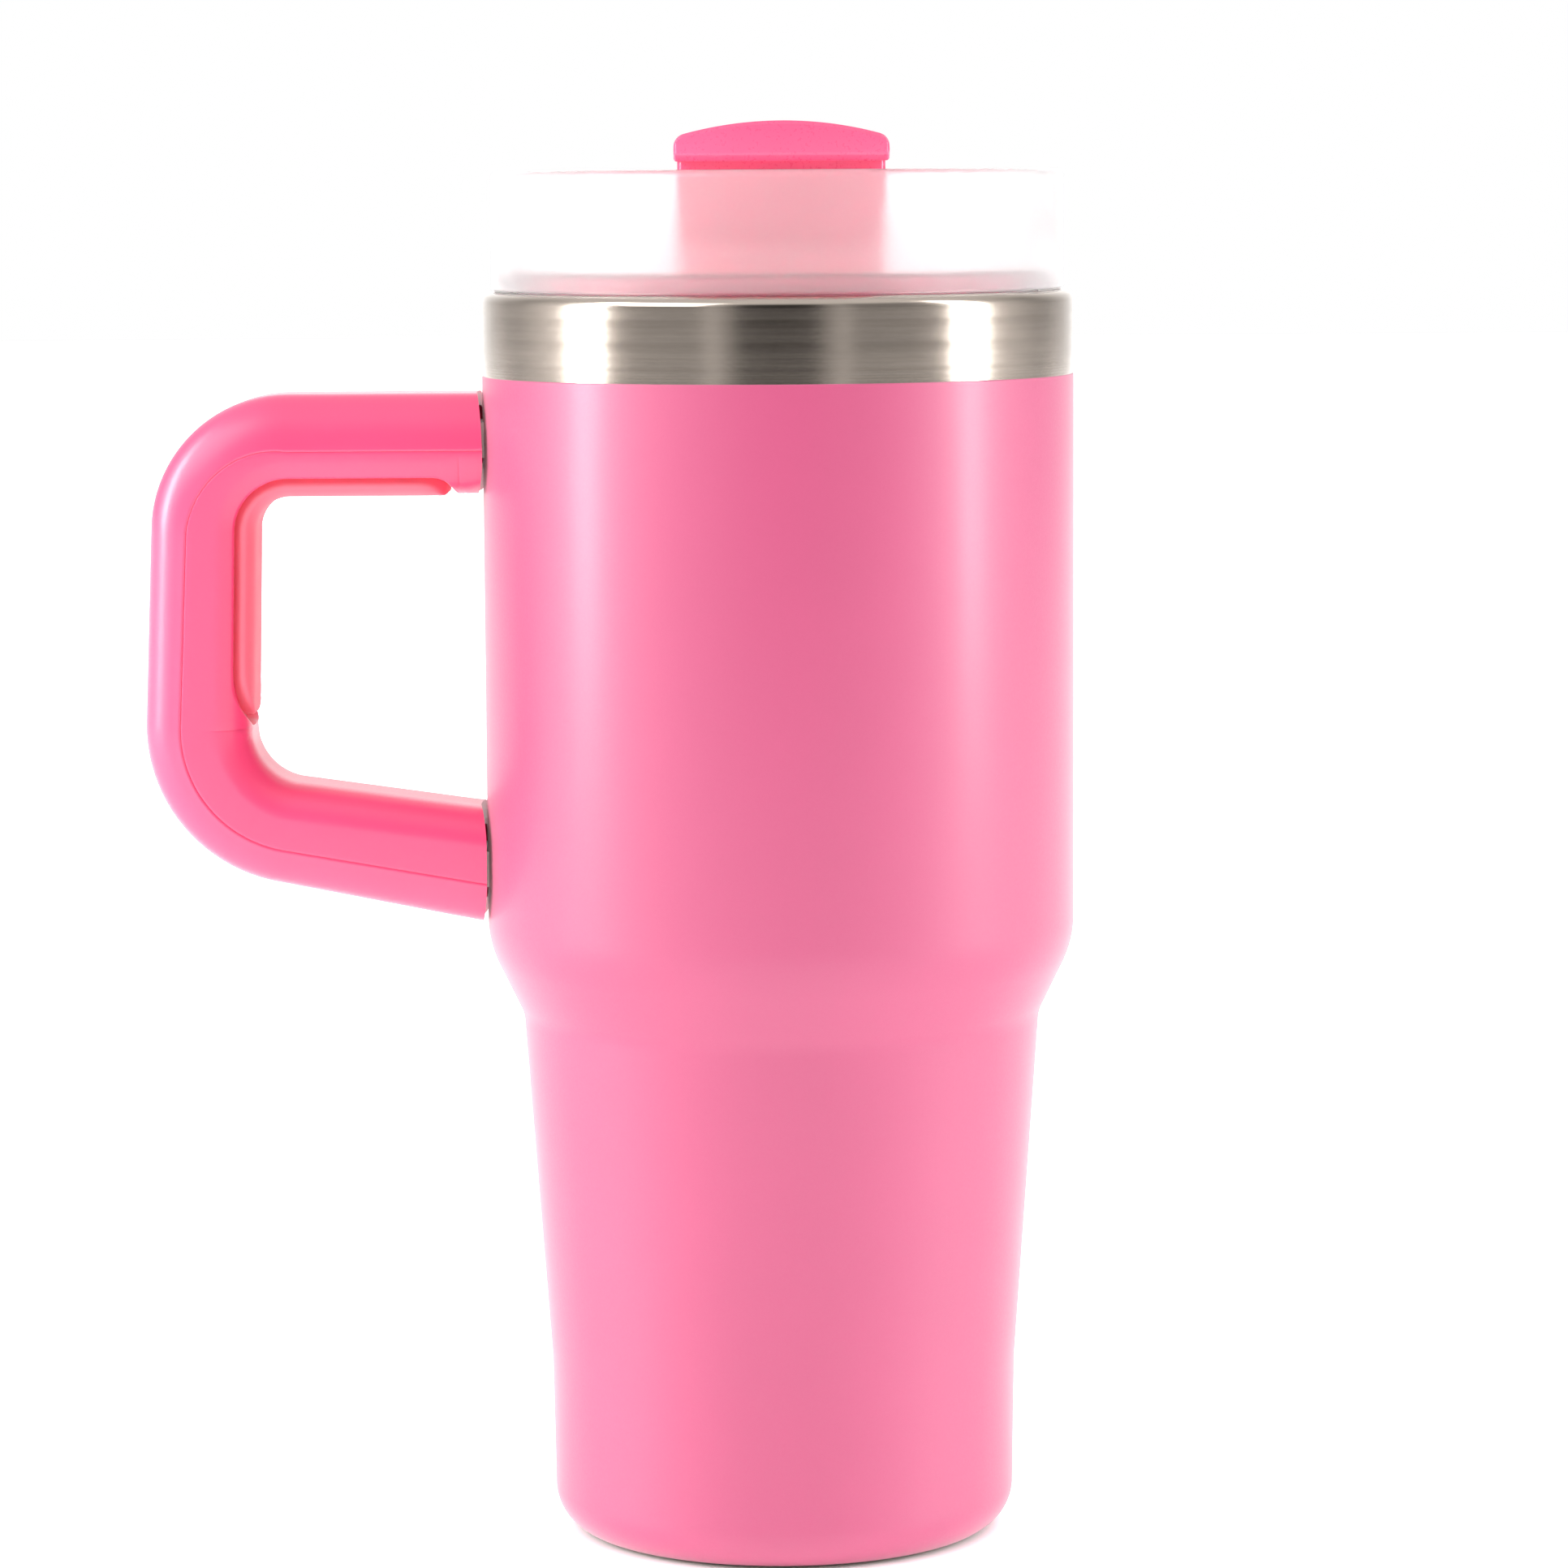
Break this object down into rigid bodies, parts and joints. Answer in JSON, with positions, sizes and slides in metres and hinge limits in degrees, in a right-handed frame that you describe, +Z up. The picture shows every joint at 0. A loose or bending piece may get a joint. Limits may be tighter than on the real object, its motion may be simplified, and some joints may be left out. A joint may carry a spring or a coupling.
{
  "type": "insulated tumbler with lid",
  "caption": "Double-wall steel tumbler with a tapered foot, a side handle, a threaded translucent lid and a rotary cover with a thumb tab.",
  "frame": {"origin": "centre of the resting face under the foot, on the body's axis", "axes": "+Z up along the body's axis, handle towards -X, front towards -Y"},
  "size_m": [0.1321, 0.084, 0.2015],
  "materials": {
    "brushed_steel": "brushed round the axis",
    "satin_steel": "satin, electropolished",
    "powder_coat": "satin powder coating with a fine texture",
    "getter_metal": "dull",
    "solder": "dull",
    "handle_plastic": "fine moulded texture",
    "grip_elastomer": "matt soft touch",
    "screw_steel": "satin",
    "silicone": "translucent, semi-matt",
    "lid_plastic": "glossy, frosted translucent",
    "cover_plastic": "semi-gloss"
  },
  "bodies": {
    "vessel": {"outer_shell": "brushed_steel", "powder_coat": "powder_coat", "inner_liner": "satin_steel", "outer_base": "satin_steel", "base_disc": "brushed_steel", "getter": "getter_metal", "vacuum_seal": "solder", "upper_handle_bracket": "satin_steel", "lower_handle_bracket": "satin_steel", "handle_outer_shell": "handle_plastic", "handle_inner_shell": "handle_plastic", "grip_inlay": "grip_elastomer", "handle_screws": "screw_steel", "screw_plug": "grip_elastomer"},
    "gasket": {"lid_gasket": "silicone"},
    "lid": {"lid_body": "lid_plastic", "slot_seal": "silicone", "straw_seal": "silicone", "hub_seal": "silicone"},
    "cover": {"rotary_cover": "cover_plastic", "pivot_washer": "screw_steel", "pivot_screw": "screw_steel"}
  },
  "joints": [
    {"name": "lid_lift", "type": "slide", "parent": "vessel", "child": "gasket", "axis": [0, 0, 1], "range_m": [0, 0.0301]},
    {"name": "lid_turn", "type": "hinge", "parent": "gasket", "child": "lid", "pos_m": [0, 0, 0.178], "axis": [0, 0, 1], "range_deg": [0, 900]},
    {"name": "cover_turn", "type": "hinge", "parent": "lid", "child": "cover", "pos_m": [0, 0, 0.1765], "axis": [0, 0, 1], "range_deg": [-60, 60]}
  ],
  "couplings": [
    {"joint": "lid_lift", "follows": "lid_turn", "m_per_rad": 0.0019099}
  ]
}
